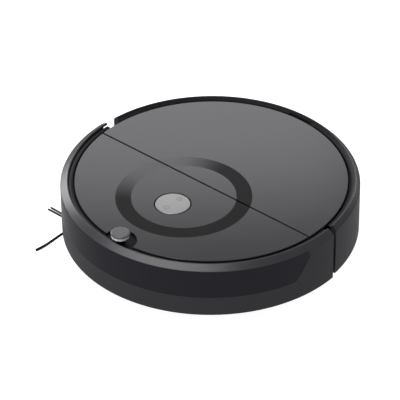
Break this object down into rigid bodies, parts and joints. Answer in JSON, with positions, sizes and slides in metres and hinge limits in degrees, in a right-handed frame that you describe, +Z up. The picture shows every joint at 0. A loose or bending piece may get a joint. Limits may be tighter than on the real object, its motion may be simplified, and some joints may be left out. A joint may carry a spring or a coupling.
{
  "type": "robot vacuum cleaner",
  "caption": "Round robot vacuum with a hinged rear lid over a lift-out dust bin, sprung front bumper, rocker button, swinging drive wheels, caster, main brush and side brush.",
  "frame": {"origin": "on the floor under the axis of the round body", "axes": "+X forward to the bumper, +Y to the robot's left, +Z up"},
  "size_m": [0.3475, 0.3542, 0.0905],
  "materials": {
    "chassis_black": "matt moulded plastic",
    "inner_black": "matt moulded plastic",
    "shell_grey": "satin painted plastic",
    "bumper_grey": "satin painted plastic",
    "plate_grey": "satin painted plastic",
    "cap_grey": "satin painted plastic",
    "cover_grey": "matt moulded plastic",
    "latch_grey": "matt moulded plastic",
    "wheel_grey": "matt moulded plastic",
    "caster_plastic": "satin moulded plastic",
    "button_silver": "satin silver paint",
    "window_black": "glossy dark plastic that passes infrared light",
    "mirror_metal": "vacuum-plated mirror",
    "board_green": "coated circuit board",
    "battery_wrap": "cells in a printed wrap",
    "motor_steel": "pressed steel can",
    "spring_steel": "drawn steel",
    "contact_metal": "nickel-plated contact",
    "bin_smoke": "smoked clear plastic",
    "filter_frame_grey": "matt moulded plastic",
    "filter_white": "pleated filter paper",
    "seal_rubber": "soft rubber",
    "fin_rubber": "soft rubber",
    "bristle_black": "nylon bristle",
    "gear_white": "acetal",
    "tyre_black": "moulded rubber"
  },
  "bodies": {
    "base": {"base_chassis": "chassis_black", "upper_shell": "shell_grey", "front_top_plate": "plate_grey", "button_bezel": "inner_black", "button_board": "board_green", "beacon_window": "window_black", "beacon_mirror": "mirror_metal", "beacon_cap": "cap_grey", "main_board": "board_green", "battery_pack": "battery_wrap", "battery_door": "chassis_black", "fan_housing": "inner_black", "fan_motor": "motor_steel", "exhaust_grille": "shell_grey", "suction_duct": "inner_black", "brush_gearbox": "inner_black", "brush_motor": "motor_steel", "side_brush_motor": "motor_steel", "sensor_windows": "window_black", "charge_contacts": "contact_metal", "bumper_switches": "inner_black", "bumper_springs": "spring_steel", "case_screws": "spring_steel", "speaker": "inner_black", "swing_pins": "spring_steel", "brush_cover": "cover_grey", "left_swing_spring": "spring_steel", "right_swing_spring": "spring_steel"},
    "fan_rotor": {"fan_impeller": "gear_white"},
    "bumper": {"bumper_shell": "bumper_grey", "bumper_window": "window_black"},
    "lid": {"rear_lid": "plate_grey", "lid_hinge_pins": "spring_steel"},
    "dust_bin": {"bin_tub": "bin_smoke", "bin_cover": "inner_black", "filter_frame": "filter_frame_grey", "filter_media": "filter_white", "bin_seal": "seal_rubber"},
    "rocker": {"rocker_cap": "button_silver"},
    "main_brush": {"brush_core": "inner_black", "brush_fins": "fin_rubber", "brush_bristles": "bristle_black", "brush_gear": "gear_white"},
    "idler": {"idler_gear": "gear_white"},
    "pinion": {"motor_pinion": "spring_steel"},
    "latch_left": {"cover_latch_left": "latch_grey"},
    "latch_right": {"cover_latch_right": "latch_grey"},
    "side_brush": {"side_brush_hub": "inner_black", "side_brush_bristles": "bristle_black", "side_brush_screw": "spring_steel"},
    "left_arm": {"left_swing_arm": "inner_black", "left_wheel_motor": "motor_steel"},
    "left_wheel": {"left_wheel_hub": "wheel_grey", "left_tyre": "tyre_black"},
    "right_arm": {"right_swing_arm": "inner_black", "right_wheel_motor": "motor_steel"},
    "right_wheel": {"right_wheel_hub": "wheel_grey", "right_tyre": "tyre_black"},
    "caster": {"caster_fork": "inner_black"},
    "caster_roller": {"caster_wheel": "caster_plastic"}
  },
  "joints": [
    {"name": "bumper_press", "type": "slide", "parent": "base", "child": "bumper", "axis": [1, 0, 0], "range_m": [-0.004, 0], "stiffness_N_per_m": 1200, "springref_m": 0.002, "deforming": ["bumper_springs"]},
    {"name": "lid_hinge", "type": "hinge", "parent": "base", "child": "lid", "pos_m": [0.0184, 0, 0.0768], "axis": [0, 1, 0], "range_deg": [0, 75]},
    {"name": "bin_lift", "type": "slide", "parent": "base", "child": "dust_bin", "axis": [0, 0, 1], "range_m": [0, 0.079]},
    {"name": "rocker_tilt", "type": "hinge", "parent": "base", "child": "rocker", "pos_m": [0.067, 0, 0.0764], "axis": [0, 1, 0], "range_deg": [-1.5, 1.5], "stiffness_Nm_per_rad": 0.9},
    {"name": "left_swing", "type": "hinge", "parent": "base", "child": "left_arm", "pos_m": [0.052, 0.085, 0.036], "axis": [0, 1, 0], "range_deg": [-22, 0], "stiffness_Nm_per_rad": 0.25, "springref_deg": -28.65, "deforming": ["left_swing_spring"]},
    {"name": "left_wheel_spin", "type": "hinge", "parent": "left_arm", "child": "left_wheel", "pos_m": [0, 0.108, 0.035], "axis": [0, 1, 0], "continuous": true},
    {"name": "right_swing", "type": "hinge", "parent": "base", "child": "right_arm", "pos_m": [0.052, -0.085, 0.036], "axis": [0, 1, 0], "range_deg": [-22, 0], "stiffness_Nm_per_rad": 0.25, "springref_deg": -28.65, "deforming": ["right_swing_spring"]},
    {"name": "right_wheel_spin", "type": "hinge", "parent": "right_arm", "child": "right_wheel", "pos_m": [0, -0.108, 0.035], "axis": [0, 1, 0], "continuous": true},
    {"name": "caster_swivel", "type": "hinge", "parent": "base", "child": "caster", "pos_m": [0.13, 0, 0.0265], "axis": [0, 0, 1], "continuous": true},
    {"name": "caster_roll", "type": "hinge", "parent": "caster", "child": "caster_roller", "pos_m": [0.125, 0, 0.012], "axis": [0, 1, 0], "continuous": true},
    {"name": "main_brush_spin", "type": "hinge", "parent": "base", "child": "main_brush", "pos_m": [-0.038, 0, 0.019], "axis": [0, 1, 0], "continuous": true},
    {"name": "idler_spin", "type": "hinge", "parent": "base", "child": "idler", "pos_m": [-0.044, 0.0865, 0.03808], "axis": [0, 1, 0], "continuous": true},
    {"name": "pinion_spin", "type": "hinge", "parent": "base", "child": "pinion", "pos_m": [-0.035, 0.0865, 0.05367], "axis": [0, 1, 0], "continuous": true},
    {"name": "side_brush_spin", "type": "hinge", "parent": "base", "child": "side_brush", "pos_m": [0.0933, -0.1074, 0.006], "axis": [0, 0, 1], "continuous": true},
    {"name": "latch_left_slide", "type": "slide", "parent": "base", "child": "latch_left", "axis": [1, 0, 0], "range_m": [0, 0.0035]},
    {"name": "latch_right_slide", "type": "slide", "parent": "base", "child": "latch_right", "axis": [1, 0, 0], "range_m": [0, 0.0035]},
    {"name": "fan_spin", "type": "hinge", "parent": "base", "child": "fan_rotor", "pos_m": [-0.09, 0.1, 0.03], "axis": [0, 0, 1], "continuous": true}
  ],
  "couplings": [
    {"joint": "bin_lift", "follows": "lid_hinge", "m_per_rad": 0.06},
    {"joint": "idler_spin", "follows": "main_brush_spin", "ratio": -0.66667},
    {"joint": "pinion_spin", "follows": "main_brush_spin", "ratio": 1.3333}
  ]
}
